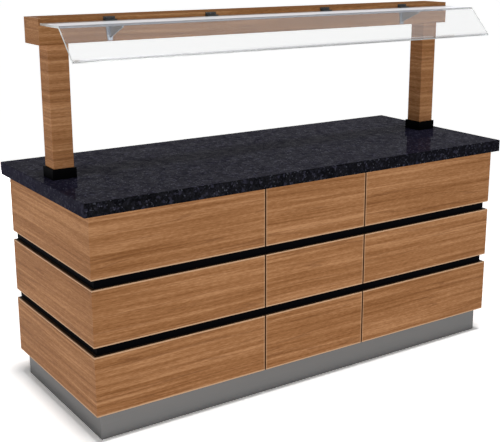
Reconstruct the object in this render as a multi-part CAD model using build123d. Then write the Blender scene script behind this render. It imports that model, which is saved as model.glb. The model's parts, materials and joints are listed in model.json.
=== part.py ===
from build123d import *
import math
import os

# A neutral buffet counter: a store with a stone top, clad in wood-grain panels, and on top of it
# a gantry of two posts and a beam that carries a bent glass guard.
# Millimetres. X runs along the counter, the customers stand at -Y, the staff at +Y, Z is up.
# The origin is on the floor, under the middle of the worktop.

# Driving sizes

counter_length = 2000.0
counter_depth = 800.0
counter_height = 905.0

worktop_edge = 50.0         # height of the stone edge that shows
stone = 20.0                # the slab and its glued-on edge strips
worktop_overhang = 25.0     # past the faces of the cladding
worktop_arris = 2.0
substrate_play = 0.5        # plywood to stone edge, each side

plinth_height = 105.0
plinth_setback = 25.0       # behind the faces of the cladding
plinth_sheet = 1.5
plinth_flange = 20.0

cladding = 16.0             # thickness of the decorative panels
carcass = 16.0              # thickness of the carcass boards
reveal = 35.0               # height of the black shadow gaps
bottom_row = 230.0
middle_row = 215.0
column_joint_x = 247.5      # the upright joints, from the middle of the front
panel_joint = 6.0           # width of an upright joint
panel_top_play = 1.0        # top panels to the stone
panel_arris = 0.8

rail_width = 100.0
shelf_height = 465.0        # underside of the shelves
shelf_setback = 30.0        # shelves behind the doors
shelf_play = 1.5            # shelf ends to the boards beside them
shelf_pin_radius = 2.5
shelf_pin_length = 14.0
shelf_pin_web = 2.0         # board left between two pins end to end
shelf_pin_inset = 60.0      # pins from the front and rear edges of a shelf
hole_play = 0.05            # radial, for every pin and bolt in its hole

door = 18.0                 # thickness of the doors
door_gap = 3.0              # between two doors, and under them
door_bevel = 9.0            # cut off the inner top edge, so that fingers hook behind it
grip_gap = 36.0             # height of the finger channel over the doors
grip_drop = 30.0            # the trough of the grip profile below the door tops
grip_depth = 45.0           # how far the channel goes in from the rear
grip_sheet = 2.0
grip_lip = 10.0
grip_door_play = 4.0        # trough to the back of the doors
seat = 0.3                  # pieces that lie loosely against each other

hinge_length = 64.0
hinge_leaf = 1.8
leaf_play = 0.4             # between the two leaves of a closed hinge
leaf_inset = 1.0            # leaf edge to the back of the door
knuckle_radius = 4.5
knuckle_clear = 0.5         # knuckles to the faces of door and board
knuckle_play = 0.3          # along the axis, between knuckles
hinge_pin_radius = 2.5
hinge_pin_head = 1.5        # thickness of the pin's heads
hinge_pin_head_radius = 4.0
hinge_inset = 52.0          # hinge ends to the door's foot and to the grip profile

foot_clear = 10.0           # foot plates to the plinth
foot_base_radius = 26.0
foot_base = 10.0
foot_screw_radius = 15.0
foot_socket_radius = 19.0
foot_plate_radius = 31.0
foot_plate = 5.0
foot_travel = 30.0          # thread free between base and sleeve
foot_end_play = 5.0         # end of the thread to the roof of the sleeve
foot_play = 0.3

post_y = 20.0               # post centres behind the middle
casing = 19.0               # boards of the post and beam casings
shoe_height = 40.0
shoe_wall = 3.0
core_width = 40.0
core_wall = 3.0
core_play = 1.0             # core to the boards and the shoe around it
base_plate = 8.0
bolt_to_core = 8.0          # bolt centres to the faces of the core
bolt_to_edge = 15.0         # bolt centres to the edges of the base plate
bolt_radius = 4.0
bolt_head_radius = 6.5
bolt_head = 8.0
bolt_tail = 3.5             # thread below the nut
nut_flats = 13.0
nut_height = 6.5
nut_to_board = 1.5          # nuts to the end panels
bolt_hole_play = 0.5

beam_inset = 18.0           # beam ends to the ends of the worktop
beam_depth = 138.0
beam_bottom = 1399.0
beam_behind_posts = 9.0     # middle of the beam behind the post centres
lid_play = 0.5
beam_tube_inset = 14.0      # tube ends to the end caps
beam_floor_play = 10.0      # floor of the beam to the plates on the cores
top_plate = 6.0
top_plate_length = 86.0

glass = 8.0
glass_inset = 4.0           # glass ends to the ends of the beam
glass_edge_play = 0.5       # glass to the plates of the clips
glass_drop = 15.0           # top of the glass below the top of the beam
glass_ledge = 170.0         # level stretch, from the beam to the bend
glass_slope = 46.0          # degrees down from level
glass_skirt = 155.0         # sloping stretch, from the bend to the lower edge
glass_bend = 6.0            # radius inside the bend
glass_arris = 1.0

clip_plate = 4.0
clip_width = 46.0
clip_reach = 22.0
clip_top_play = 1.0         # clip to the top edge of the beam
outer_clip_inset = 270.0    # from the ends of the beam
inner_clip_x = 280.0        # from the middle

bracket_plate = 4.0
bracket_top_width = 34.0
bracket_foot_width = 18.0
bracket_reach = 110.0
bracket_foot_play = 3.0     # bracket to the lower edge of the beam
bracket_clip_play = 1.2     # web and pad to the jaws of the clip above
bracket_web = 5.0
bracket_tip = 10.0          # height of the web at its outer end
bracket_pad_width = 30.0
bracket_pad = 3.0

near = 0.01                 # edges are picked within this distance of a place

# Places that follow from the driving sizes

face_x = counter_length / 2 - worktop_overhang      # outer faces of the cladding
face_y = counter_depth / 2 - worktop_overhang
shell_x = face_x - cladding                         # outer faces of the carcass
shell_y = face_y - cladding
plinth_x = face_x - plinth_setback                  # outer faces of the plinth
plinth_y = face_y - plinth_setback
inner_x = shell_x - carcass                         # inside faces of the end boards
front_y = -shell_y + carcass                        # inside face of the backing board
rear_y = face_y                                     # rear edges of the carcass boards
underside_z = counter_height - worktop_edge
stone_underside_z = counter_height - stone
floor_z = plinth_height + carcass                   # top of the base panel
rail_z = underside_z - carcass
door_bottom_z = floor_z + door_gap
door_top_z = underside_z - grip_gap
door_back_y = rear_y - door
channel_y = rear_y - grip_depth
grip_room_y = channel_y - grip_sheet - seat         # front of the room that the grip profile takes
trough_z = door_top_z - grip_drop

shelf_pin_depth = (carcass - shelf_pin_web) / 2
door_hinge_gap = 2 * hinge_leaf + leaf_play
hinge_heights = (door_bottom_z + hinge_inset + hinge_length / 2,
                 trough_z - hinge_inset - hinge_length / 2)

rows = {
    "bottom": (plinth_height, plinth_height + bottom_row),
    "middle": (plinth_height + bottom_row + reveal,
               plinth_height + bottom_row + reveal + middle_row),
    "top": (plinth_height + bottom_row + 2 * reveal + middle_row, underside_z - panel_top_play),
}

core_hole = core_width + 2 * core_play
post_width = core_hole + 2 * casing
bolt_spacing = core_width + 2 * bolt_to_core
base_plate_width = bolt_spacing + 2 * bolt_to_edge
shoe_width = base_plate_width + 2 * core_play + 2 * shoe_wall
nut_radius = nut_flats / math.sqrt(3)
post_x = inner_x - nut_to_board - nut_radius - bolt_spacing / 2
shoe_top_z = counter_height + shoe_height
beam_length = counter_length - 2 * beam_inset
beam_height = 2 * casing + beam_floor_play + top_plate + core_width
beam_y = post_y + beam_behind_posts
beam_front_y = beam_y - beam_depth / 2
beam_rear_y = beam_y + beam_depth / 2
beam_top_z = beam_bottom + beam_height
beam_tube_top_z = beam_top_z - casing
beam_tube_z = beam_tube_top_z - core_width
glass_length = beam_length - 2 * glass_inset
glass_top_z = beam_top_z - glass_drop
glass_under_z = glass_top_z - glass
clip_low_z = glass_under_z - seat - clip_plate
outer_clip_x = beam_length / 2 - outer_clip_inset

sides = {"left": -1, "right": 1}


# Helpers

def block(x0, x1, y0, y1, z0, z1):
    """A box between two corners, given in any order along each axis."""
    size = (abs(x1 - x0), abs(y1 - y0), abs(z1 - z0))
    middle = ((x0 + x1) / 2, (y0 + y1) / 2, (z0 + z1) / 2)
    return Pos(*middle) * Box(*size)


def rod(x, y, z0, z1, radius):
    """An upright cylinder from z0 to z1."""
    return Pos(x, y, (z0 + z1) / 2) * Cylinder(radius, abs(z1 - z0))


def prism(points, z0, z1):
    """An upright prism over a plan outline."""
    outline = make_face(Polyline(*points, close=True))
    return extrude(Pos(0, 0, z0) * outline, z1 - z0)


def along_x(points, x0, x1):
    """A prism along X over an outline given as (y, z)."""
    outline = make_face(Polyline(*[(0, y, z) for y, z in points], close=True))
    return extrude(Pos(x0, 0, 0) * outline, x1 - x0, dir=(1, 0, 0))


def ease(solid, size, axis, places):
    """Chamfer the edges along one axis that lie at the given places (None leaves a place free)."""
    edges = [e for e in solid.edges().filter_by(axis)
             if all(place is None or abs(centre - place) < near
                    for centre, place in zip(tuple(e.center()), places))]
    return chamfer(edges, size) if edges else solid


pieces = {}


# Worktop: a stone slab with deepened edges, over plywood

def bolt_places(sign):
    return [(sign * post_x + dx * bolt_spacing / 2, post_y + dy * bolt_spacing / 2)
            for dx in (-1, 1) for dy in (-1, 1)]


def drill_for_bolts(solid, z0, z1):
    for sign in sides.values():
        for x, y in bolt_places(sign):
            solid -= rod(x, y, z0, z1, bolt_radius + bolt_hole_play)
    return solid


def worktop():
    x, y = counter_length / 2, counter_depth / 2
    slab = block(-x, x, -y, y, underside_z, counter_height)
    slab = chamfer(slab.faces().sort_by(Axis.Z)[-1].edges(), worktop_arris)
    slab -= block(-x + stone, x - stone, -y + stone, y - stone, underside_z, stone_underside_z)
    return drill_for_bolts(slab, stone_underside_z, counter_height)


def worktop_substrate():
    x = counter_length / 2 - stone - substrate_play
    y = counter_depth / 2 - stone - substrate_play
    board = block(-x, x, -y, y, underside_z, stone_underside_z)
    return drill_for_bolts(board, underside_z, stone_underside_z)


pieces["worktop"] = worktop()
pieces["worktop_substrate"] = worktop_substrate()


# Plinth: four lengths of folded sheet with mitred corners, and the levelling feet behind them

def plinth_length(reach, offset):
    """A channel along X whose web faces -Y at the given offset, mitred at both ends."""
    web_y, lip_y = -offset, -offset + plinth_flange
    short = reach - plinth_flange
    outer = prism([(-reach, web_y), (reach, web_y), (short, lip_y), (-short, lip_y)], 0, plinth_height)
    return outer - block(-reach, reach, web_y + plinth_sheet, lip_y,
                         plinth_sheet, plinth_height - plinth_sheet)


pieces["plinth_front"] = plinth_length(plinth_x, plinth_y)
pieces["plinth_rear"] = Rot(0, 0, 180) * plinth_length(plinth_x, plinth_y)
pieces["plinth_left"] = Rot(0, 0, -90) * plinth_length(plinth_y, plinth_x)
pieces["plinth_right"] = Rot(0, 0, 90) * plinth_length(plinth_y, plinth_x)


def levelling_feet():
    """Each foot is a socket under the base panel and a screwed leg that stands in it."""
    solids = []
    behind_plinth = plinth_flange + foot_clear + foot_plate_radius
    far_x = plinth_x - behind_plinth
    far_y = plinth_y - behind_plinth
    mouth = foot_base + foot_travel
    roof = plinth_height - foot_plate
    for x in (-far_x, -column_joint_x, column_joint_x, far_x):
        for y in (-far_y, far_y):
            socket = rod(x, y, roof, plinth_height, foot_plate_radius)
            socket += rod(x, y, mouth, roof, foot_socket_radius)
            socket -= rod(x, y, mouth, roof, foot_screw_radius + foot_play)
            leg = rod(x, y, 0, foot_base, foot_base_radius)
            leg += rod(x, y, foot_base, roof - foot_end_play, foot_screw_radius)
            solids += [socket, leg]
    return Compound(solids)


pieces["levelling_feet"] = levelling_feet()


# Carcass boards

def shelf_pin_rod(x, inward, y, radius, depth, reach):
    """A rod under a shelf: into the board from its face at x by depth, out of it by reach."""
    centre = x + inward * (depth - reach) / 2
    z = shelf_height - shelf_pin_radius
    return Pos(centre, y, z) * Rot(0, 90, 0) * Cylinder(radius, depth + reach)


def shelf_pin_holes(board, x, faces):
    """Blind holes for the shelf pins in the faces of an upright board."""
    for face in faces:
        for y in shelf_pin_y:
            board -= shelf_pin_rod(x + face * carcass / 2, -face, y, shelf_pin_radius + hole_play,
                                   shelf_pin_depth + hole_play, 0)
    return board


shelf_front_y = front_y + seat
shelf_rear_y = door_back_y - shelf_setback
shelf_pin_y = (shelf_front_y + shelf_pin_inset, shelf_rear_y - shelf_pin_inset)

pieces["base_panel"] = block(-inner_x, inner_x, front_y, rear_y, plinth_height, floor_z)
pieces["front_backing_board"] = block(-shell_x, shell_x, -shell_y, front_y, plinth_height, underside_z)
pieces["top_rail_front"] = block(-inner_x, inner_x, front_y, front_y + rail_width, rail_z, underside_z)
pieces["top_rail_rear"] = block(-inner_x, inner_x, grip_room_y - rail_width, grip_room_y,
                                rail_z, underside_z)

for name, sign in sides.items():
    board = block(sign * inner_x, sign * shell_x, front_y, rear_y, plinth_height, underside_z)
    middle = sign * (inner_x + carcass / 2)
    pieces["end_panel_" + name] = shelf_pin_holes(board, middle, [-sign])

for name, sign in sides.items():
    x = sign * column_joint_x
    x0, x1 = x - carcass / 2, x + carcass / 2
    board = block(x0, x1, front_y, rear_y, floor_z, rail_z)
    board -= block(x0, x1, grip_room_y, rear_y, trough_z - seat, rail_z)
    pieces["divider_" + name] = shelf_pin_holes(board, x, [-1, 1])


# Shelves, one in each bay, on four pins each

divider_face = column_joint_x + carcass / 2
divider_back = column_joint_x - carcass / 2
bays = {
    "left": (-inner_x, -divider_face),
    "centre": (-divider_back, divider_back),
    "right": (divider_face, inner_x),
}
pins = []
for name, (x0, x1) in bays.items():
    pieces["shelf_" + name] = block(x0 + shelf_play, x1 - shelf_play, shelf_front_y, shelf_rear_y,
                                    shelf_height, shelf_height + carcass)
    for y in shelf_pin_y:
        for x, inward in ((x0, -1), (x1, 1)):
            pins.append(shelf_pin_rod(x, inward, y, shelf_pin_radius, shelf_pin_depth,
                                      shelf_pin_length - shelf_pin_depth))
pieces["shelf_pins"] = Compound(pins)


# Cladding: three rows of panels, mitred where the front meets the ends

def front_panel(x0, x1, z0, z1):
    """A panel of the front. Where it ends at a corner of the counter, that end is mitred."""
    back_x0, back_x1 = max(x0, -shell_x), min(x1, shell_x)
    panel = prism([(x0, -face_y), (x1, -face_y), (back_x1, -shell_y), (back_x0, -shell_y)], z0, z1)
    for z in (z0, z1):
        panel = ease(panel, panel_arris, Axis.X, (None, -face_y, z))
    return panel


def end_panel(sign, z0, z1):
    """A panel of an end, mitred at the front and square at the rear."""
    face, back = sign * face_x, sign * shell_x
    panel = prism([(face, -face_y), (face, rear_y), (back, rear_y), (back, -shell_y)], z0, z1)
    for z in (z0, z1):
        panel = ease(panel, panel_arris, Axis.Y, (face, None, z))
    return panel


columns = {
    "left": (-face_x, -column_joint_x - panel_joint / 2),
    "centre": (-column_joint_x + panel_joint / 2, column_joint_x - panel_joint / 2),
    "right": (column_joint_x + panel_joint / 2, face_x),
}
for row, (z0, z1) in rows.items():
    for column, (x0, x1) in columns.items():
        pieces["front_panel_%s_%s" % (row, column)] = front_panel(x0, x1, z0, z1)
    for name, sign in sides.items():
        pieces["%s_panel_%s" % (name, row)] = end_panel(sign, z0, z1)


# Rear doors: two pairs, each door on two butt hinges, with a grip profile above them

def hinge_axis(board_x, opens):
    """Plan place of a hinge axis: board_x is the face that carries it, opens is +1 towards +X."""
    return board_x + opens * door_hinge_gap / 2, rear_y + knuckle_radius + knuckle_clear


def knuckle_spans(z):
    """The three knuckles of a hinge round height z: frame, door, frame."""
    third = hinge_length / 3
    low = z - hinge_length / 2
    return [(low, low + third - knuckle_play), (low + third, low + 2 * third - knuckle_play),
            (low + 2 * third, low + hinge_length)]


def hinge_leaf_piece(board_x, opens, z, on_door):
    """A leaf and its knuckles. The frame leaf has the outer two, the door leaf the middle one."""
    x, y = hinge_axis(board_x, opens)
    edge = board_x + opens * (door_hinge_gap if on_door else 0)
    inward = -opens if on_door else opens
    spans = knuckle_spans(z)
    own = [spans[1]] if on_door else [spans[0], spans[2]]
    low, high = z - hinge_length / 2, z + hinge_length / 2
    plate_top = y - knuckle_radius - seat
    leaf = block(edge, edge + inward * hinge_leaf, door_back_y + leaf_inset, plate_top, low, high)
    for z0, z1 in own:
        leaf += block(edge, edge + inward * hinge_leaf, plate_top, y, z0, z1)
        leaf += rod(x, y, z0, z1, knuckle_radius)
    return leaf - rod(x, y, low, high, hinge_pin_radius + hole_play)


def hinge_pin(board_x, opens, z):
    x, y = hinge_axis(board_x, opens)
    low, high = z - hinge_length / 2, z + hinge_length / 2
    pin = rod(x, y, low, high, hinge_pin_radius)
    pin += rod(x, y, low - hinge_pin_head, low, hinge_pin_head_radius)
    return pin + rod(x, y, high, high + hinge_pin_head, hinge_pin_head_radius)


pair_width = inner_x - divider_face
door_width = (pair_width - 2 * door_hinge_gap - door_gap) / 2

# name: face of the board that carries the door, and the way the door reaches from it
doors = {
    "far_left": (-inner_x, 1),
    "near_left": (-divider_face, -1),
    "near_right": (divider_face, 1),
    "far_right": (inner_x, -1),
}
frame_leaves = []
hinge_pins = []
for name, (board_x, opens) in doors.items():
    edge = board_x + opens * door_hinge_gap
    leaf = block(edge, edge + opens * door_width, door_back_y, rear_y, door_bottom_z, door_top_z)
    leaf = ease(leaf, door_bevel, Axis.X, (None, door_back_y, door_top_z))
    leaf = ease(leaf, panel_arris, Axis.X, (None, rear_y, door_bottom_z))
    pieces["door_" + name] = ease(leaf, panel_arris, Axis.X, (None, rear_y, door_top_z))
    pieces["door_hinge_leaves_" + name] = Compound(
        [hinge_leaf_piece(board_x, opens, z, True) for z in hinge_heights])
    for z in hinge_heights:
        frame_leaves.append(hinge_leaf_piece(board_x, opens, z, False))
        hinge_pins.append(hinge_pin(board_x, opens, z))
pieces["frame_hinge_leaves"] = Compound(frame_leaves)
pieces["hinge_pins"] = Compound(hinge_pins)


def grip_profile():
    """A J-shaped channel over the doors: back, trough floor and a small upturned lip."""
    back_y, lip_y = channel_y - grip_sheet, door_back_y - grip_door_play
    sheet = grip_sheet
    section = [(back_y, underside_z), (back_y, trough_z), (lip_y, trough_z),
               (lip_y, trough_z + grip_lip), (lip_y - sheet, trough_z + grip_lip),
               (lip_y - sheet, trough_z + sheet), (channel_y, trough_z + sheet), (channel_y, underside_z)]
    return along_x(section, -inner_x + seat, inner_x - seat)


pieces["grip_profile"] = grip_profile()


# Gantry posts: a steel core bolted to the worktop, a wood-grain casing and a black shoe

def square(x, y, width, z0, z1):
    half = width / 2
    return block(x - half, x + half, y - half, y + half, z0, z1)


def post_shoe(sign):
    x = sign * post_x
    shoe = square(x, post_y, shoe_width, counter_height, shoe_top_z)
    shoe = ease(shoe, panel_arris, Axis.Z, (None, None, None))
    shoe -= square(x, post_y, shoe_width - 2 * shoe_wall, counter_height, shoe_top_z - shoe_wall)
    return shoe - square(x, post_y, core_hole, shoe_top_z - shoe_wall, shoe_top_z)


def post_casing(sign):
    x = sign * post_x
    box = square(x, post_y, post_width, shoe_top_z, beam_bottom)
    box = ease(box, panel_arris, Axis.Z, (None, None, None))
    return box - square(x, post_y, core_hole, shoe_top_z, beam_bottom)


def post_core(sign):
    x = sign * post_x
    plate_top = counter_height + base_plate
    plate_low = beam_tube_z - top_plate
    core = square(x, post_y, base_plate_width, counter_height, plate_top)
    core += square(x, post_y, core_width, plate_top, plate_low)
    core += block(x - top_plate_length / 2, x + top_plate_length / 2, post_y - core_width / 2,
                  post_y + core_width / 2, plate_low, beam_tube_z)
    core -= square(x, post_y, core_width - 2 * core_wall, plate_top, plate_low)
    for bx, by in bolt_places(sign):
        core -= rod(bx, by, counter_height, plate_top, bolt_radius + bolt_hole_play)
    return core


def post_bolts():
    """Bolts down through plate, stone and plywood, each with its nut underneath."""
    solids = []
    top = counter_height + base_plate
    for sign in sides.values():
        for x, y in bolt_places(sign):
            bolt = rod(x, y, top, top + bolt_head, bolt_head_radius)
            bolt += rod(x, y, underside_z - nut_height - bolt_tail, top, bolt_radius)
            nut = extrude(Pos(x, y, underside_z - nut_height) * RegularPolygon(nut_radius, 6), nut_height)
            nut -= rod(x, y, underside_z - nut_height, underside_z, bolt_radius + hole_play)
            solids += [bolt, nut]
    return Compound(solids)


for name, sign in sides.items():
    pieces["post_shoe_" + name] = post_shoe(sign)
    pieces["post_casing_" + name] = post_casing(sign)
    pieces["post_core_" + name] = post_core(sign)
pieces["post_bolts"] = post_bolts()


# Beam: a folded trough, two mitred end caps, a lid, and a steel tube across the posts

def beam_end(sign):
    """An end cap with its front, rear and lower edges mitred into the trough."""
    sections = []
    for inset in (0, casing):
        height = beam_height - inset
        place = Pos(sign * (beam_length / 2 - inset), beam_y, beam_top_z - height / 2)
        sections.append(place * Rot(0, 90, 0) * Rectangle(height, beam_depth - 2 * inset))
    return loft(sections)


def beam_casing():
    x = beam_length / 2
    trough = block(-x, x, beam_front_y, beam_rear_y, beam_bottom, beam_top_z)
    trough -= block(-x, x, beam_front_y + casing, beam_rear_y - casing, beam_bottom + casing, beam_top_z)
    for sign in sides.values():
        trough -= beam_end(sign)
        trough -= square(sign * post_x, post_y, core_hole, beam_bottom, beam_bottom + casing)
    return trough


def beam_lid():
    x = beam_length / 2 - casing - lid_play
    return block(-x, x, beam_front_y + casing + lid_play, beam_rear_y - casing - lid_play,
                 beam_tube_top_z, beam_top_z)


def beam_tube():
    x = beam_length / 2 - casing - beam_tube_inset
    half, w = core_width / 2, core_wall
    tube = block(-x, x, post_y - half, post_y + half, beam_tube_z, beam_tube_top_z)
    return tube - block(-x, x, post_y - half + w, post_y + half - w, beam_tube_z + w, beam_tube_top_z - w)


pieces["beam_casing"] = beam_casing()
pieces["beam_lid"] = beam_lid()
pieces["beam_end_left"] = beam_end(-1)
pieces["beam_end_right"] = beam_end(1)
pieces["beam_tube"] = beam_tube()


# Glass guard: one bent pane, gripped by clips and carried by two brackets

def glass_guard():
    slope = math.radians(glass_slope)
    along = Vector(-math.cos(slope), -math.sin(slope))       # down the skirt, in (y, z)
    normal = Vector(-math.sin(slope), math.cos(slope))       # out of its upper face
    y0 = beam_front_y - clip_plate - glass_edge_play
    bend_y = beam_front_y - glass_ledge
    half_turn = math.tan(slope / 2)
    lower = Vector(bend_y, glass_top_z) + along * glass_skirt
    lower_in = lower - normal * glass
    section = [(y0, glass_top_z), (bend_y, glass_top_z), (lower.X, lower.Y),
               (lower_in.X, lower_in.Y), (bend_y + glass * half_turn, glass_under_z),
               (y0, glass_under_z)]
    pane = along_x(section, -glass_length / 2, glass_length / 2)
    for place, radius in ((bend_y, glass_bend + glass), (bend_y + glass * half_turn, glass_bend)):
        edges = [e for e in pane.edges().filter_by(Axis.X) if abs(e.center().Y - place) < near]
        pane = fillet(edges, radius)
    low_edges = pane.edges().filter_by(Axis.X).sort_by(Axis.Z)[:2]
    return chamfer(low_edges, glass_arris)


def glass_clips():
    """Four C-shaped clips on the front of the beam, with the glass between their jaws."""
    y0 = beam_front_y - clip_plate
    tip = beam_front_y - clip_reach
    jaw_top = glass_top_z + seat + clip_plate
    section = [(beam_front_y, beam_top_z - clip_top_play), (y0, beam_top_z - clip_top_play), (y0, jaw_top),
               (tip, jaw_top), (tip, jaw_top - clip_plate), (y0, jaw_top - clip_plate),
               (y0, clip_low_z + clip_plate), (tip, clip_low_z + clip_plate), (tip, clip_low_z),
               (beam_front_y, clip_low_z)]
    half = clip_width / 2
    places = (-outer_clip_x, -inner_clip_x, inner_clip_x, outer_clip_x)
    return Compound([along_x(section, x - half, x + half) for x in places])


def glass_brackets():
    """A tapered plate on the beam, a tapered web under the glass and a pad at its end."""
    solids = []
    plate_y = beam_front_y - bracket_plate
    foot_z = beam_bottom + bracket_foot_play
    head_z = clip_low_z - seat
    pad_top = glass_under_z - seat
    step_y = beam_front_y - clip_reach - bracket_clip_play
    tip_y = beam_front_y - bracket_reach
    for x in (-outer_clip_x, outer_clip_x):
        plan = [(x - bracket_foot_width / 2, foot_z), (x + bracket_foot_width / 2, foot_z),
                (x + bracket_top_width / 2, head_z), (x - bracket_top_width / 2, head_z)]
        outline = make_face(Polyline(*[(px, beam_front_y, pz) for px, pz in plan], close=True))
        plate = extrude(outline, bracket_plate, dir=(0, -1, 0))
        web = along_x([(plate_y, foot_z + bracket_tip), (plate_y, head_z), (step_y, head_z),
                       (step_y, pad_top - bracket_pad), (tip_y, pad_top - bracket_pad),
                       (tip_y, pad_top - bracket_pad - bracket_tip)],
                      x - bracket_web / 2, x + bracket_web / 2)
        pad = block(x - bracket_pad_width / 2, x + bracket_pad_width / 2, step_y, tip_y,
                    pad_top - bracket_pad, pad_top)
        solids.append(plate + web + pad)
    return Compound(solids)


pieces["glass_guard"] = glass_guard()
pieces["glass_clips"] = glass_clips()
pieces["glass_brackets"] = glass_brackets()


os.makedirs("parts", exist_ok=True)
for name, piece in pieces.items():
    export_step(piece, "parts/" + name + ".step")
print(len(pieces), "pieces")
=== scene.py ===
# %% [markdown]
# # A buffet counter, dressed for a product picture
#
# The solids of this counter come from a CAD program: a stone top, a store clad in wood-grain panels, a
# plinth, and a gantry of two posts and a beam with a bent glass guard. This lesson gives them their
# finishes, adds the small fittings that are too fine for the solids, and lights them in a white studio.
#
# We load the solids first. The box of any one of them can be read from its vertices. Nothing that we
# add may leave it.

# %% Load the solids
import json
import math

import bmesh
import bpy
from mathutils import Matrix, Vector


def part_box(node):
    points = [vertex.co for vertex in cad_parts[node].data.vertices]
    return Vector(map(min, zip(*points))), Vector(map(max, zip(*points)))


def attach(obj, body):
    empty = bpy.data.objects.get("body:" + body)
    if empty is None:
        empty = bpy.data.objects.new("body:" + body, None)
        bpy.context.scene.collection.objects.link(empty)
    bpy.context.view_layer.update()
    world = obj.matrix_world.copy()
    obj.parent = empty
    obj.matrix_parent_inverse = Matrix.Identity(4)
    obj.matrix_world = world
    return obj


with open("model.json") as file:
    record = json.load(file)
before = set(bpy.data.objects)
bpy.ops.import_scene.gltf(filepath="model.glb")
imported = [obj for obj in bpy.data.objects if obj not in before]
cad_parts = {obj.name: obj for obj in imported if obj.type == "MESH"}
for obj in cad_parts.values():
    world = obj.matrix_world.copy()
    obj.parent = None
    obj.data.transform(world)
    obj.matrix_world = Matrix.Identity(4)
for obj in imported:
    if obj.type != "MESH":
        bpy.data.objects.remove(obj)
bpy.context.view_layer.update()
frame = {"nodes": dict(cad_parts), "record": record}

# %% [markdown]
# ## The camera
#
# A product picture is best matched by a camera that stands where the photographer stood. This one stands
# in front of the left end at eye height, turned to the right and tipped a little down, so that it sees
# the front, the left end and the top. The lens is a short telephoto, which keeps upright edges almost
# parallel. The shift moves the frame without turning the camera, as on a view camera.

# %% Place the camera
camera_place = Vector((-2.2658, -3.3260, 1.7365))
turned_right = math.radians(34.349)
tilted_down = math.radians(14.407)
rolled = math.radians(0.093)
sensor_width, focal_length = 36.0, 69.93
frame_shift = (-0.0306, -0.0489)
farthest_seen = 200.0


def photo_camera():
    data = bpy.data.cameras.new("photo_camera")
    data.sensor_width, data.lens = sensor_width, focal_length
    data.shift_x, data.shift_y = frame_shift
    data.clip_end = farthest_seen
    camera = bpy.data.objects.new("photo_camera", data)
    bpy.context.scene.collection.objects.link(camera)
    turn = (Matrix.Rotation(-turned_right, 4, "Z") @ Matrix.Rotation(math.pi / 2 - tilted_down, 4, "X")
            @ Matrix.Rotation(rolled, 4, "Z"))
    camera.matrix_world = Matrix.Translation(camera_place) @ turn
    return camera


bpy.context.scene.camera = photo_camera()
bpy.context.scene.view_settings.view_transform = "Standard"
print("camera at", tuple(bpy.context.scene.camera.location))

# %% [markdown]
# ## Writing materials as sums
#
# A procedural finish is a small graph of nodes. It could be wired by hand, one link at a time, but a long
# graph is easier to read as arithmetic. So one class wraps an output of a node, and its operators add Math
# nodes: `1 - mask` or `grain * 0.5` then work as they look. Any other kind of node comes from one method.

# %% A wrapper for node outputs and one for node trees
X, Y, Z = 0, 1, 2


class Value:
    """An output of a node. Arithmetic on it adds Math nodes to the same tree."""

    def __init__(self, nodes, socket):
        self.nodes = nodes
        self.socket = socket

    def maths(self, operation, *values):
        return self.nodes.add("ShaderNodeMath", {"operation": operation}, dict(enumerate(values)))

    def power(self, exponent):
        return self.maths("POWER", self, exponent)

    def __add__(self, other):
        return self.maths("ADD", self, other)

    def __radd__(self, other):
        return self.maths("ADD", other, self)

    def __sub__(self, other):
        return self.maths("SUBTRACT", self, other)

    def __rsub__(self, other):
        return self.maths("SUBTRACT", other, self)

    def __mul__(self, other):
        return self.maths("MULTIPLY", self, other)

    def __rmul__(self, other):
        return self.maths("MULTIPLY", other, self)

    def __gt__(self, other):
        return self.maths("GREATER_THAN", self, other)

    def __lt__(self, other):
        return self.maths("LESS_THAN", self, other)

    def __abs__(self):
        return self.maths("ABSOLUTE", self)

    def larger(self, other):
        return self.maths("MAXIMUM", self, other)


class Nodes:
    """A node tree, with one method that adds any node to it."""

    def __init__(self, tree):
        self.tree = tree

    def add(self, kind, settings=None, sockets=None, output=0):
        """Add a node: its settings first, then the values or links of its sockets."""
        node = self.tree.nodes.new(kind)
        for name, value in (settings or {}).items():
            if name == "stops":
                ramp = node.color_ramp
                while len(ramp.elements) < len(value):
                    ramp.elements.new(1.0)
                for element, (position, colour) in zip(ramp.elements, value):
                    element.position, element.color = position, colour
            elif name == "steps":
                node.color_ramp.interpolation = "CONSTANT"
            else:
                setattr(node, name, value)
        for name, value in (sockets or {}).items():
            self.set(node.inputs[name], value)
        return Value(self, node.outputs[output])

    def set(self, socket, value):
        """Give a socket a number or a colour, or link a node's output to it."""
        if isinstance(value, Value):
            self.tree.links.new(value.socket, socket)
        else:
            socket.default_value = value


def rgb(red, green, blue):
    """A colour as a paint program gives it, 0 to 255, made linear for a shader."""
    def linear(level):
        level /= 255
        return level / 12.92 if level <= 0.04045 else ((level + 0.055) / 1.055) ** 2.4
    return (linear(red), linear(green), linear(blue), 1.0)


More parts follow.
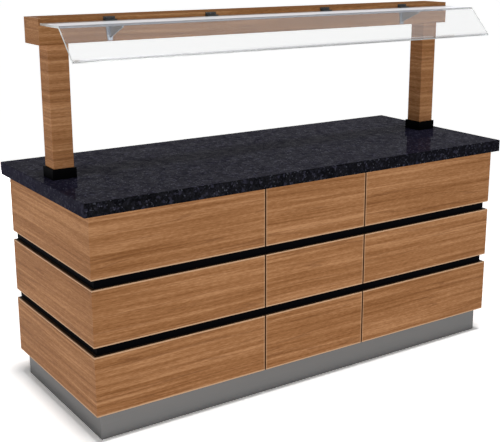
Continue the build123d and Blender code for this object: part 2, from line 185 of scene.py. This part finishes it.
class Finish(Nodes):
    """A material: its node tree, its surface shader, and the place of each point on the object."""

    def __init__(self, name, **plain):
        self.material = bpy.data.materials.new(name)
        self.material.use_nodes = True
        super().__init__(self.material.node_tree)
        self.surface = self.tree.nodes["Principled BSDF"]
        self.feed(**plain)
        self.place = self.add("ShaderNodeTexCoord", output="Object")
        self.facing = Value(self, self.place.socket.node.outputs["Normal"])

    def feed(self, **sockets):
        """Set or link sockets of the surface shader: base_color=..., roughness=..."""
        for name, value in sockets.items():
            self.set(self.surface.inputs[name.replace("_", " ").title().replace("Ior", "IOR")], value)

    def scaled(self, x, y, z, start=None):
        """The place multiplied by a number along each axis, which packs or stretches a pattern."""
        return self.add("ShaderNodeVectorMath", {"operation": "MULTIPLY"},
                        {0: start or self.place, 1: (x, y, z)})

    def moved(self, start, x, y, z):
        """A place moved by a number or a value along each axis."""
        step = self.add("ShaderNodeCombineXYZ", None, {0: x, 1: y, 2: z})
        return self.add("ShaderNodeVectorMath", {"operation": "ADD"}, {0: start, 1: step})

    def noise(self, place, detail=2.0, roughness=0.5):
        return self.add("ShaderNodeTexNoise", None, {
            "Vector": place, "Scale": 1.0, "Detail": detail, "Roughness": roughness})

    def part(self, vector, axis):
        """One coordinate of a vector: 0, 1 or 2 for X, Y or Z."""
        return self.add("ShaderNodeSeparateXYZ", None, {0: vector}, axis)

    def looks_along(self, axis):
        """1 on the faces that look along an axis, to either side of it."""
        return abs(self.part(self.facing, axis)) > 0.5

    def mix(self, share, first, second):
        """A colour that goes from the first to the second as share goes from 0 to 1."""
        return self.add("ShaderNodeMix", {"data_type": "RGBA"}, {0: share, 6: first, 7: second}, 2)

    def ramp(self, value, *stops, steps=False):
        settings = {"steps": True} if steps else {}
        return self.add("ShaderNodeValToRGB", dict(settings, stops=stops), {0: value})

    def bump(self, height, metres, strength):
        """Tilt the shading normal as if the surface rose by metres where height is 1."""
        self.feed(normal=self.add("ShaderNodeBump", None, {
            "Height": height, "Distance": metres, "Strength": strength}))


print("a mid grey of 128 is", round(rgb(128, 128, 128)[0], 3), "in a shader")

# %% [markdown]
# ## Where the panels end
#
# The panels and the doors have pale strips along their edges, called lipping, whose pale tone is also a
# painted highlight for the light that those edges catch, and their finish has to know where those lie. We
# read that from the boxes of the solids: the upright joints in X, and the upper and lower edge of each row
# in
# Z. Faces that look along X belong to a joint if they lie inside the end boards.

# %% Measure the joints and the edges
panel_joint, door_gap = 0.006, 0.003
lipping = 0.005
joint_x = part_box("front_panel_bottom_centre")[1].x + panel_joint / 2
pair_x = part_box("door_near_right")[1].x + door_gap / 2
panel_joints = (-joint_x, joint_x)
door_joints = (-pair_x, 0.0, pair_x)
row_edges = [corner.z for row in ("bottom", "middle", "top")
             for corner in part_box(f"front_panel_{row}_centre")]
door_edges = [corner.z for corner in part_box("door_far_left")]
cladding_x, cladding_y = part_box("right_panel_top")[1].x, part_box("front_panel_top_centre")[0].y
end_boards_x = 0.95
print("upright joints of the panels at", [round(x, 4) for x in panel_joints])
print("upright joints of the doors at", [round(x, 4) for x in door_joints])

# %% [markdown]
# ## Wood-grain laminate
#
# The panels, posts and beam wear a satin laminate with a warm brown grain that lies level, and it runs
# unbroken round the mitred corners. A picture of wood could be wrapped on, but a pattern made from noise
# in object space needs no unwrapping and turns every corner by itself. Noise becomes grain when it is
# packed tightly across the fibres and stretched along them. Four layers are enough: broad bands, streaks,
# short flecks, and thin dark lines where a band of noise passes its middle value. A slow noise bends them
# all a little. A table says how often each of them repeats in a metre, along the fibres and across them.
# Where panels meet at an upright joint, the pattern jumps, because each panel is cut from its own place on
# the sheet.

# %% Write the laminate
wood_dark, wood_mid, wood_light = rgb(133, 87, 50), rgb(158, 110, 71), rgb(186, 137, 96)
wood_line = rgb(104, 64, 38)
repeats = {"slow": (1.1, 4.0), "bands": (0.6, 20.0), "streaks": (1.5, 75.0), "flecks": (55.0, 320.0),
           "lines": (0.8, 30.0)}
next_sheet_x, next_sheet_z = 4.2, 0.49
grain_bend = 0.02
line_width = 0.012


def wood_finish(name, on_x, on_y, on_z, gloss, joints=(), edges=(), side_colour_or_joint_shade=None, top_shade=None):
    """A laminate whose fibres run along some of the axes. The faces inside its joints can get a colour of
    their own, which on the cladding is a painted dark shade, and the tops behind the lipping of the
    cladding get a painted shade.
    """
    wood = Finish(name, specular_ior_level=gloss)
    place = wood.place
    x = wood.part(place, X)
    seams = 0.0
    for joint in joints:
        board = x > joint
        seams = (abs(x - joint) < lipping + panel_joint / 2) + seams
        place = wood.moved(place, board * (next_sheet_x + joint), 0.0, board * (next_sheet_z + 0.3 * joint))

    def layer(kind, start, detail, roughness=0.5):
        along, across = repeats[kind]
        packing = [along if axis is fibre else across for axis in (on_x, on_y, on_z)]
        return wood.noise(wood.scaled(*packing, start=start), detail, roughness)

    slow = layer("slow", place, 1.0) - 0.5
    place = wood.moved(place, 0.0, slow * grain_bend if on_y is cross else 0.0, slow * grain_bend)
    bands = layer("bands", place, 1.0)
    streaks = layer("streaks", place, 3.0, roughness=0.6)
    flecks = layer("flecks", place, 2.0)
    lines = abs(layer("lines", place, 1.0) - 0.5) < line_width
    tone = bands * 0.12 + streaks * 0.58 + flecks * 0.30
    colour = wood.ramp(tone, (0.36, wood_dark), (0.50, wood_mid), (0.64, wood_light))
    colour = wood.mix(lines * 0.3, colour, wood_line)
    if edges:
        colour = edged(wood, colour, x, edges, seams, side_colour_or_joint_shade)
    if top_shade:
        colour = paint_shade_on_tops(wood, colour, x, top_shade)
    wood.feed(base_color=colour, roughness=0.38 + 0.16 * streaks)
    wood.bump(streaks * 0.6 + flecks * 0.4, metres=0.00018, strength=0.35)
    return wood.material


for kind, (along, across) in repeats.items():
    print(f"{kind}: {across / along:.0f} times as long as wide")

# %% [markdown]
# The edges come after the grain. Lipping is pale along the edges of the rows and fainter beside the upright
# joints, and its pale tone is also a painted highlight, for the light that those edges catch. The narrow
# faces inside the joints of the cladding get a painted dark shade, and so do the tops of its panels behind
# their lipping, so that the gaps between the rows read as black.

# %% Add the edges and make the laminates
# Pale lipping, and a painted highlight on the edges of the rows and beside the joints.
lipping_and_painted_highlight = rgb(206, 168, 134)
# Painted shade: the dark reddish brown of the narrow faces inside the cladding's joints.
painted_joint_shade = rgb(62, 26, 12)
# Painted shade: near-black for the tops of the cladding panels inside the gaps between the rows.
painted_gap_shade = rgb(12, 9, 8)
rim_share, seam_share, side_share, top_shade_share = 0.9, 0.33, 0.8, 0.9


def edged(wood, colour, x, edges, seams, side_colour_or_joint_shade):
    """The colour with pale lipping, also a painted highlight, on edges and beside seams, and another colour
    inside the joints, which on the cladding is a painted dark shade.
    """
    z = wood.part(wood.place, Z)
    rim = wood.looks_along(Z)
    for edge in edges:
        rim = rim.larger(abs(z - edge) < lipping)
    colour = wood.mix((rim * rim_share).larger(seams * seam_share), colour, lipping_and_painted_highlight)
    inside_joints = wood.looks_along(X) * (abs(x) < end_boards_x)
    return wood.mix(inside_joints * side_share, colour, side_colour_or_joint_shade)


def paint_shade_on_tops(wood, colour, x, top_shade):
    """The colour with a painted shade on the faces that look up, behind the lipping of the cladding."""
    behind = (wood.part(wood.place, Y) > cladding_y + lipping) * (abs(x) < cladding_x - lipping)
    return wood.mix((wood.part(wood.facing, Z) > 0.5) * behind * top_shade_share, colour, top_shade)


fibre, cross = "along the fibres", "across the fibres"
laminates = {
    "cladding": wood_finish("wood_laminate_cladding", fibre, fibre, cross, gloss=0.03,
                            joints=panel_joints, edges=row_edges, side_colour_or_joint_shade=painted_joint_shade, top_shade=painted_gap_shade),
    "doors": wood_finish("wood_laminate_doors", fibre, fibre, cross, gloss=0.03,
                         joints=door_joints, edges=door_edges, side_colour_or_joint_shade=lipping_and_painted_highlight),
    "level": wood_finish("wood_laminate_level", fibre, fibre, cross, gloss=0.03),
    "beam": wood_finish("wood_laminate_beam", fibre, cross, cross, gloss=0.0),
}
print("laminates:", ", ".join(laminates))

# %% [markdown]
# ## Polished black stone
#
# The top is a dark granite: a near-black ground crowded with crystals of grey and blue-grey, and a few
# that flash. Voronoi cells are the natural start, because crystals that grow into each other end up as
# such cells, and each cell's own random colour picks its mineral. Large crystals make the ground and small
# ones lie over it as chips, more of them in some places than in others. The polish is a clear coat, kept
# thin so that the stone still reads as black when the white studio lies low in it, and a faint violet sheen
# gives the cool tone that the top has at a low angle. The edges are painted darker than the top, the ends
# more than the front and back: a painted shade.

# %% Make the stone
violet = (0.5, 0.45, 1.0, 1.0)
painted_edge_shade = rgb(0, 2, 4)
large_crystal, small_crystal = 0.0105, 0.0048
clouds_per_metre = 26


def stone_finish():
    stone = Finish("stone_top", roughness=0.5, specular_ior_level=0.0, coat_roughness=0.03,
                   sheen_weight=0.14, sheen_roughness=0.4, sheen_tint=violet)

    def crystals(size, turn):
        place = stone.add("ShaderNodeMapping", None, {
            "Vector": stone.place, "Rotation": (turn, turn * 0.7, turn * 1.3)})
        cells = stone.add("ShaderNodeTexVoronoi", None, {"Vector": place, "Scale": 1 / size}, "Color")
        return stone.part(cells, X)

    mineral = crystals(large_crystal, turn=0.4)
    ground = stone.ramp(mineral, (0.0, rgb(5, 5, 7)), (0.40, rgb(11, 10, 13)), (0.70, rgb(26, 25, 34)),
                        (0.90, rgb(58, 57, 74)), steps=True)
    chips = stone.ramp(crystals(small_crystal, turn=1.1), (0.0, rgb(4, 4, 6)), (0.5, rgb(21, 21, 28)),
                       (0.80, rgb(42, 42, 54)), (0.96, rgb(104, 106, 120)), steps=True)
    cloud = 0.5 + 2.5 * (stone.noise(stone.scaled(*[clouds_per_metre] * 3), detail=2.0) - 0.5)
    colour = stone.mix(0.3 + 0.3 * cloud, ground, chips)
    # Painted shade: the upright faces of the stone are mixed towards a near-black, the ends more than the
    # front and back.
    darker = stone.looks_along(Y) * 0.36 + stone.looks_along(X) * 0.55
    stone.feed(base_color=stone.mix(darker, colour, painted_edge_shade),
               coat_weight=0.02 + 0.045 * mineral + 0.05 * cloud)
    return stone.material


stone_top = stone_finish()
print("made", stone_top.name)

# %% [markdown]
# ## Metals
#
# The plinth is brushed steel and the fittings are satin steel. A brushed sheet is scratched along its
# length, so its noise is stretched that way and feeds the roughness and a very shallow bump. Shoes and
# clips are powder coated, the cores are primed and the grip is anodised. Those three share one finish: a
# plain colour with the skin of a fine orange, which is nothing but a small round bump.

# %% Make the metals
def shaded(colour, factor, lift=0.0):
    """A colour multiplied by a factor and lifted a little, which shows on near-black ones."""
    return tuple(c * factor + lift for c in colour[:3]) + (1.0,)


def brushed_steel(name, colour, scratches):
    """Steel with so many scratches in a metre along each axis: few along their length, many across it."""
    steel = Finish(name, metallic=1.0)
    lines = steel.noise(steel.scaled(*scratches), detail=3.0, roughness=0.7)
    smudge = steel.noise(steel.scaled(3, 3, 6), detail=2.0)
    dark, light = shaded(colour, 0.86), shaded(colour, 1.12)
    steel.feed(base_color=steel.mix(lines, dark, light), roughness=0.34 + 0.16 * lines + 0.06 * smudge)
    steel.bump(lines, metres=0.00004, strength=0.4)
    return steel.material


def painted_metal(name, colour, roughness, grain, depth, gloss=0.25):
    """A coat with a skin of so many bumps in a metre, and so deep."""
    paint = Finish(name, base_color=colour, specular_ior_level=gloss)
    skin = paint.noise(paint.scaled(grain, grain, grain), detail=2.0)
    worn = paint.noise(paint.scaled(7, 7, 7), detail=3.0)
    lighter = shaded(colour, 1.5, 0.002)
    paint.feed(base_color=paint.mix(worn * skin, colour, lighter),
               roughness=roughness + 0.12 * (worn - 0.5))
    paint.bump(skin, metres=depth, strength=0.5)
    return paint.material


long_brush, short_brush = (4, 4, 700), (60, 60, 900)
# Painted shade: the plinth's steel is made much darker than bare steel, so that it mirrors the white studio
# as a mid grey.
plinth_steel = brushed_steel("plinth_steel", rgb(100, 100, 100), long_brush)
fitting_steel = brushed_steel("fitting_steel", rgb(176, 178, 180), short_brush)
# Painted shade: a darker, bluer copy of the fitting steel, so that the bracket plates facing the front lamp
# read darker.
shaded_bracket_steel = brushed_steel("shaded_bracket_steel", rgb(128, 134, 144), short_brush)
black_metal = painted_metal("black_metal", rgb(4, 4, 5),
                            roughness=0.45, grain=1400, depth=0.00005, gloss=0.008)
clip_black = painted_metal("clip_black", rgb(10, 10, 12),
                           roughness=0.35, grain=1400, depth=0.00003, gloss=0.5)
core_steel = painted_metal("core_steel", rgb(122, 126, 128), roughness=0.5, grain=500, depth=0.00008)
black_aluminium = painted_metal("black_aluminium", rgb(16, 16, 18),
                                roughness=0.38, grain=2600, depth=0.00002)
print("metals:", plinth_steel.name, fitting_steel.name, black_metal.name)

# %% [markdown]
# ## Boards and plastics
#
# The carcass behind the panels is chipboard with a black melamine face, which has a faint pearl texture.
# In the gaps between the panels it is painted darker than inside the store, a painted shade so that it
# reads as pure black; inside the store it has enough tone to show its corners. Under the stone lies
# plywood: its faces show a broad grain, its edges show thin layers of veneer that change direction, which
# stripes along Z give. The levelling feet are matt moulded plastic.

# %% Make the boards and the plastic
veneer_scale = 105.0
backing_y, backing_x = -0.345, 0.957


def plywood_finish():
    ply = Finish("plywood", roughness=0.6)
    grain = ply.noise(ply.scaled(2.5, 45, 20), detail=4.0, roughness=0.6)
    veneer = ply.add("ShaderNodeTexWave", {"wave_type": "BANDS", "bands_direction": "Z"},
                     {"Vector": ply.place, "Scale": veneer_scale, "Distortion": 0.4}, "Fac")
    edge = 1 - ply.looks_along(Z)
    face = ply.ramp(grain, (0.3, rgb(186, 146, 98)), (0.7, rgb(226, 194, 146)))
    layers = ply.ramp(veneer, (0.35, rgb(150, 108, 66)), (0.65, rgb(222, 188, 140)))
    ply.feed(base_color=ply.mix(edge, face, layers))
    ply.bump(grain, metres=0.0002, strength=0.4)
    return ply.material


def moulded(name, colour, roughness, grain, depth, gloss=0.25, inside=None):
    """A moulded or melamine skin. Inside is the colour away from the gaps in the cladding, where the skin
    keeps a darker colour as painted shade.
    """
    skin = Finish(name, specular_ior_level=gloss)
    pearl = skin.noise(skin.scaled(grain, grain, grain), detail=2.0)
    haze = skin.noise(skin.scaled(4, 4, 4), detail=2.0)
    shade = skin.mix(pearl * haze, colour, shaded(colour, 1.6, 0.001))
    if inside:
        # Painted shade: in the gaps of the cladding the board stays near-black.
        in_front = skin.part(skin.place, Y) < backing_y
        painted_shade_in_gaps = in_front.larger(abs(skin.part(skin.place, X)) > backing_x)
        shade = skin.mix(painted_shade_in_gaps, skin.mix(pearl * haze, inside, colour), shade)
    skin.feed(base_color=shade, roughness=roughness + 0.1 * (pearl - 0.5))
    skin.bump(pearl, metres=depth, strength=0.5)
    return skin.material


plywood = plywood_finish()
black_board = moulded("black_board", rgb(3, 3, 5), roughness=0.5, grain=900, depth=0.00006, gloss=0.01,
                      inside=rgb(30, 30, 32))
black_plastic = moulded("black_plastic", rgb(14, 14, 15), roughness=0.6, grain=1600, depth=0.00008)
print("boards:", plywood.name, black_board.name)

# %% [markdown]
# ## Glass
#
# The guard is one pane of clear toughened glass. Its faces are almost invisible and mirror a little of the
# studio. Its polished edges look darker and greener, because there one looks along the pane and not
# through it, so a tint is given to the thin faces at the two ends and along the lower edge.
#
# Three things are laid over that. On the front half of the level stretch a rough mirror layer shows at a
# low angle, a painted reflection that turns the glass into a near-white band. The bend and the lower rim
# are drawn as darker lines, a painted shade for how a bent pane reads from a distance. And because a ray
# tracer would make the pane throw a heavy shadow, light rays pass through a Transparent shader, which Light
# Path can tell from the rays that the camera sends.

# %% Mark the painted reflection band, the bend and the lower rim
reflection_starts_y, reflection_full_y = -0.065, -0.115
reflection_band_share = 0.76
bend_depth, rim_depth = 0.008, 0.010
bend_share, bend_share_right, rim_line_share = 0.85, 0.3, 0.32
fading_from_x, fading_to_x = 0.76, 0.86
looks_straight_up, looks_outward = 0.99, -0.15


def ramped(nodes, value, start, end, first, last):
    """A number that goes from first to last as the value goes from start to end."""
    return nodes.add("ShaderNodeMapRange", None, {0: value, 1: start, 2: end, 3: first, 4: last})


def painted_reflection_share(glass):
    """The share of the painted reflection: on top of the level stretch, in its front half, rising at low
    angles.
    """
    front_half = ramped(glass, glass.part(glass.place, Y), reflection_starts_y, reflection_full_y, 0.0, 1.0)
    low_angle = glass.add("ShaderNodeLayerWeight", None, {"Blend": 0.5}, "Facing").power(4.0)
    return low_angle * front_half * (glass.part(glass.facing, Z) > looks_straight_up) * reflection_band_share


def painted_dark_lines(glass):
    """The share of painted shade on the outer face: at the bend, fading to the right end, and at the lower
    rim.
    """
    low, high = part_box("glass_guard")
    x, z = glass.part(glass.place, X), glass.part(glass.place, Z)
    on_the_bend = ramped(glass, x, fading_from_x, fading_to_x, bend_share, bend_share_right)
    outer_face = glass.part(glass.facing, Y) < looks_outward
    return outer_face * (on_the_bend * (z > high.z - bend_depth)
                         + rim_line_share * (z < low.z + rim_depth))


# Haze in this print means the painted reflection band.
print("haze from y =", reflection_starts_y, "to the bend, lines", bend_depth, "and", rim_depth, "high")

# %% [markdown]
# Each of these is laid over the glass with a Mix Shader, and the Transparent shader for light rays comes
# last, so that it stands in for all of them.

# %% Make the glass
clear_face, green_edge = (0.925, 0.93, 0.93, 1.0), (0.84, 0.89, 0.87, 1.0)
down_the_skirt = (0.0, -0.695, -0.719)
nearly_parallel = 0.85


def glass_finish():
    glass = Finish("clear_glass", ior=1.5, transmission_weight=1.0, sheen_weight=0.6, sheen_roughness=0.5)
    lower_edge = abs(glass.add("ShaderNodeVectorMath", {"operation": "DOT_PRODUCT"},
                               {0: glass.facing, 1: down_the_skirt}, "Value")) > nearly_parallel
    edge = glass.looks_along(X).larger(lower_edge)
    glass.feed(base_color=glass.mix(edge, clear_face, green_edge), roughness=edge * 0.8)

    def laid_over(shader, share, layer):
        return glass.add("ShaderNodeMixShader", None, {0: share, 1: shader, 2: layer})

    def transparent(red, green, blue):
        return glass.add("ShaderNodeBsdfTransparent", None, {"Color": (red, green, blue, 1.0)})

    # Painted reflection: a rough mirror layer that makes the near-white band on the ledge.
    haze = glass.add("ShaderNodeBsdfAnisotropic", None,
                     {"Color": (0.91, 0.93, 0.98, 1.0), "Roughness": 0.6})
    shadow_ray = glass.add("ShaderNodeLightPath", output="Is Shadow Ray")
    diffuse_ray = Value(glass, shadow_ray.socket.node.outputs["Is Diffuse Ray"])
    shader = Value(glass, glass.surface.outputs[0])
    shader = laid_over(shader, painted_reflection_share(glass), haze)
    # Painted shade: the dark lines at the bend and the lower rim.
    shader = laid_over(shader, painted_dark_lines(glass), transparent(0.50, 0.51, 0.54))
    shader = laid_over(shader, shadow_ray.larger(diffuse_ray), transparent(0.96, 0.97, 0.965))
    glass.set(glass.tree.nodes["Material Output"].inputs["Surface"], shader)
    return glass.material


clear_glass = glass_finish()
print("made", clear_glass.name)

# %% [markdown]
# ## Dressing the solids
#
# The record of the solids names a material slot for each of them. A table from slots to finishes therefore
# dresses nearly everything in one loop. Two fittings of the glass have a finish of their own. Wood needs a
# second look, because its grain has to follow the board: along X on the beam and the shelves, and level
# round the cladding, the doors and the posts.

# %% Give every solid its finish
slot_finish = {
    "stone_top": stone_top, "plywood": plywood, "steel_fittings": fitting_steel,
    "plinth_steel": plinth_steel, "black_board": black_board, "black_metal": black_metal,
    "core_steel": core_steel, "black_plastic": black_plastic, "black_aluminium": black_aluminium,
    "clear_glass": clear_glass,
}
node_finish = {"glass_clips": clip_black, "glass_brackets": shaded_bracket_steel}


def laminate_of(node):
    if node in ("beam_casing", "beam_lid") or node.startswith("shelf"):
        return laminates["beam"]
    if node.startswith(("front_panel", "left_panel", "right_panel")):
        return laminates["cladding"]
    if node.startswith("door"):
        return laminates["doors"]
    return laminates["level"]


def finish_of(node, slot):
    if node in node_finish:
        return node_finish[node]
    return laminate_of(node) if slot == "wood_laminate" else slot_finish[slot]


for part in frame["record"]["subparts"]:
    node, slot = part["node"], part["material_slot"]
    mesh = frame["nodes"][node].data
    mesh.materials.clear()
    mesh.materials.append(finish_of(node, slot))

# %% [markdown]
# ## Screw heads
#
# The solids stop short of the screws, so we model those here. Low button heads hold the clips and brackets
# of the glass to the beam. Flat heads hold the hinge leaves, which close on each other with less than half
# a millimetre between them. A screw head could be a bump in a material, but it catches light on its rim
# and has a dark socket, and both need real faces. So we do what a lathe and a press would do: start from a
# cylinder, round its upper rim, and sink a hexagon into it.

# %% Model a screw head
def only_select(piece):
    bpy.ops.object.select_all(action="DESELECT")
    piece.select_set(True)
    bpy.context.view_layer.objects.active = piece


def screw_head(name, finish, radius, height, rim, socket_radius, socket_depth):
    """A head that stands on z = 0, sunk a little into it, with a rounded rim and a hexagon socket."""
    sunk = 0.0002
    bpy.ops.object.select_all(action="DESELECT")
    bpy.ops.mesh.primitive_cylinder_add(vertices=32, radius=radius, depth=height + sunk,
                                        location=(0.0, 0.0, (height - sunk) / 2))
    head = bpy.context.object
    head.name = name
    bpy.ops.object.transform_apply(location=True, rotation=False, scale=False)
    bpy.ops.object.mode_set(mode="EDIT")
    bpy.ops.mesh.select_mode(type="EDGE")
    bpy.ops.mesh.select_all(action="DESELECT")
    form = bmesh.from_edit_mesh(head.data)
    for edge in form.edges:
        edge.select_set(all(corner.co.z > height * 0.99 for corner in edge.verts))
    bmesh.update_edit_mesh(head.data)
    bpy.ops.mesh.bevel(offset=rim, segments=3, affect="EDGES")
    bpy.ops.object.mode_set(mode="OBJECT")
    bpy.ops.mesh.primitive_cylinder_add(vertices=6, radius=socket_radius, depth=2 * socket_depth,
                                        location=(0.0, 0.0, height))
    cutter = bpy.context.object
    socket = head.modifiers.new("socket", "BOOLEAN")
    socket.operation, socket.object = "DIFFERENCE", cutter
    only_select(head)
    bpy.ops.object.modifier_apply(modifier=socket.name)
    bpy.data.objects.remove(cutter)
    head.data.materials.append(finish)
    return head


button = dict(radius=0.0030, height=0.0016, rim=0.0007, socket_radius=0.0013, socket_depth=0.0009)
flat = dict(radius=0.0032, height=0.00015, rim=0.00006, socket_radius=0.0014, socket_depth=0.00012)
button_head = screw_head("button_head", fitting_steel, **button)
clip_head = screw_head("clip_head", clip_black, **button)
flat_head = screw_head("flat_head", fitting_steel, **flat)
print("faces of a button head:", len(button_head.data.polygons))

# %% [markdown]
# Every hole gets a copy of its head, turned a little differently, as screws end up when they are driven.
# The copies of one kind on one body are joined, so that they ride on it as one piece. The hinges tell us
# where their screws go: a door turns on the axis of its joint, on two hinges, and every leaf of those has
# three holes one above the other. The screws of a door's leaves ride on the door, and those of the frame's
# leaves stay on the counter.

# %% Put the heads in their holes
turn_per_screw = 0.9
smooth_below = math.radians(35)


def drive(head, name, holes, body):
    """Copies of a head at (place, direction) holes, joined into one piece that rides on a body."""
    copies = []
    for number, (place, towards) in enumerate(holes):
        copy = head.copy()
        copy.data = head.data.copy()
        bpy.context.scene.collection.objects.link(copy)
        aim = Vector(towards).to_track_quat("Z", "Y").to_matrix().to_4x4()
        turn = aim @ Matrix.Rotation(turn_per_screw * number, 4, "Z")
        copy.data.transform(Matrix.Translation(place) @ turn)
        copies.append(copy)
    only_select(copies[0])
    for copy in copies:
        copy.select_set(True)
    bpy.ops.object.join()
    piece = bpy.context.object
    piece.name = name
    bpy.ops.object.shade_smooth_by_angle(angle=smooth_below)
    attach(piece, body)


both_sides = (-1, 1)
to_customer = (0.0, -1.0, 0.0)
clip_places = (-0.712, -0.280, 0.280, 0.712)
bracket_places = (clip_places[0], clip_places[-1])
plate, clip_screw_drop, clip_screw_inset = 0.004, 0.0048, 0.012
bracket_rows = ((0.0093, 1.452), (0.0068, 1.420))
plate_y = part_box("beam_casing")[0].y - plate
clip_screw_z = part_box("glass_clips")[1].z - clip_screw_drop
drive(clip_head, "clip_screws",
      [((x + side * clip_screw_inset, plate_y, clip_screw_z), to_customer)
       for x in clip_places for side in both_sides],
      "counter")
drive(button_head, "bracket_screws",
      [((x + side * inset, plate_y, z), to_customer)
       for x in bracket_places for side in both_sides for inset, z in bracket_rows],
      "counter")

leaf_gap, leaf_y = 0.0002, 0.3667
hinge_inset, screw_spacing = 0.032, 0.022
frame_holes = []
for joint in frame["record"]["behaviour"]["joints"]:
    name, opens = joint["child"].removesuffix("_door"), joint["axis"][Z]
    axis_x = joint["pos_m"][X]
    low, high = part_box("door_hinge_leaves_" + name)
    heights = [middle + step * screw_spacing
               for middle in (low.z + hinge_inset, high.z - hinge_inset) for step in (-1, 0, 1)]
    frame_holes += [((axis_x - opens * leaf_gap, leaf_y, z), (opens, 0.0, 0.0)) for z in heights]
    drive(flat_head, "hinge_screws_" + name,
          [((axis_x + opens * leaf_gap, leaf_y, z), (-opens, 0.0, 0.0)) for z in heights],
          joint["child"])
drive(flat_head, "frame_hinge_screws", frame_holes, "counter")
for head in (button_head, clip_head, flat_head):
    bpy.data.objects.remove(head)
print("screws in the frame leaves:", len(frame_holes))

# %% [markdown]
# ## The studio
#
# The picture has a pure white ground and only a soft shadow on the floor at the left end. White comes from
# the world and the floor themselves, and only for the rays that look at them: camera, mirror and glass
# rays. The light that falls on the counter is set apart from that, at a level where a colour renders about
# as it is written. To those rays the floor is twice as bright as plain white paint, as in high-key
# photography, so that it burns out to white in the open and still keeps the shadow.

# %% Build the studio
sky_level, shown_level = 0.10, 1.0
white = (1.0, 1.0, 1.0, 1.0)
paint = (0.86, 0.86, 0.86, 1.0)
floor_size = 80.0


def rays_that_look(nodes):
    """1 for the rays that look at a thing: those of the camera, and those off mirrors or through glass."""
    camera = nodes.add("ShaderNodeLightPath", output="Is Camera Ray")
    glossy, through = [Value(nodes, camera.socket.node.outputs[name])
                       for name in ("Is Glossy Ray", "Is Transmission Ray")]
    return camera.larger(glossy.larger(through))


def white_world():
    world = bpy.data.worlds.new("white_studio")
    world.use_nodes = True
    nodes = Nodes(world.node_tree)
    light = nodes.add("ShaderNodeBackground", None, {"Color": white, "Strength": sky_level})
    shown = nodes.add("ShaderNodeBackground", None, {"Color": white, "Strength": shown_level})
    both = nodes.add("ShaderNodeMixShader", None, {0: rays_that_look(nodes), 1: light, 2: shown})
    nodes.set(nodes.tree.nodes["World Output"].inputs["Surface"], both)
    bpy.context.scene.world = world


def studio_floor():
    bpy.ops.object.select_all(action="DESELECT")
    bpy.ops.mesh.primitive_plane_add(size=floor_size)
    floor = bpy.context.object
    floor.name = "studio_floor"
    pale = Finish("studio_white", base_color=paint, roughness=0.9, specular_ior_level=0.0)
    surface = Value(pale, pale.surface.outputs[0])
    second = pale.add("ShaderNodeBsdfDiffuse", None, {"Color": paint})
    bright = pale.add("ShaderNodeAddShader", None, {0: surface, 1: second})
    shown = pale.add("ShaderNodeMixShader", None, {0: rays_that_look(pale), 1: surface, 2: bright})
    pale.set(pale.tree.nodes["Material Output"].inputs["Surface"], shown)
    floor.data.materials.append(pale.material)


white_world()
studio_floor()
print("world light at", sky_level, "and shown at", shown_level)

# %% [markdown]
# A high sun lights the top and throws the short shadow. Two wide soft boxes light the front and the left
# end, each from straight ahead, so that the three sides that the picture shows keep their own brightness.
# Two more stand behind and to the right, for whoever walks round the counter. They are lower than the top
# and narrow, so that they light the store and leave the picture as it is, and they are hidden from mirror
# rays, because they would show in the polished stone.

# %% Place the lamps
beam_width = math.radians(100.0)


def hang(data, matrix):
    """A lamp in the scene, placed and turned by a matrix."""
    lamp = bpy.data.objects.new(data.name, data)
    bpy.context.scene.collection.objects.link(lamp)
    lamp.matrix_world = matrix
    return lamp


def sun(name, towards, strength, softness):
    """A sun that shines from a direction. Softness is its width in degrees."""
    data = bpy.data.lights.new(name, "SUN")
    data.energy, data.angle = strength, math.radians(softness)
    return hang(data, Vector(towards).to_track_quat("Z", "Y").to_matrix().to_4x4())


def soft_box(name, place, target, size, watts):
    """An area lamp of some width and height that points at a target."""
    data = bpy.data.lights.new(name, "AREA")
    data.shape, data.energy, data.spread = "RECTANGLE", watts, beam_width
    data.size, data.size_y = size
    aim = Vector(target) - Vector(place)
    return hang(data, Matrix.Translation(place) @ aim.to_track_quat("-Z", "Y").to_matrix().to_4x4())


shown_lamps = [
    sun("top_light", towards=(0.0, -0.06, 1.0), strength=1.53, softness=8.5),
    soft_box("front_light", (-0.1, -4.3, 0.74), (-0.25, 0.0, 0.6), size=(5.0, 1.0), watts=36.5),
    soft_box("left_light", (-4.4, 0.1, 0.55), (0.0, 0.1, 0.7), size=(1.6, 1.0), watts=17.0),
]
hidden_lamps = [
    soft_box("back_light", (0.0, 4.3, 0.45), (0.0, 0.0, 0.45), size=(1.8, 0.8), watts=28.0),
    soft_box("right_light", (4.4, 0.0, 0.45), (0.0, 0.0, 0.45), size=(0.7, 0.8), watts=15.0),
]
for lamp in hidden_lamps:
    lamp.visible_glossy = False
print(len(shown_lamps), "lamps in front and", len(hidden_lamps), "behind")
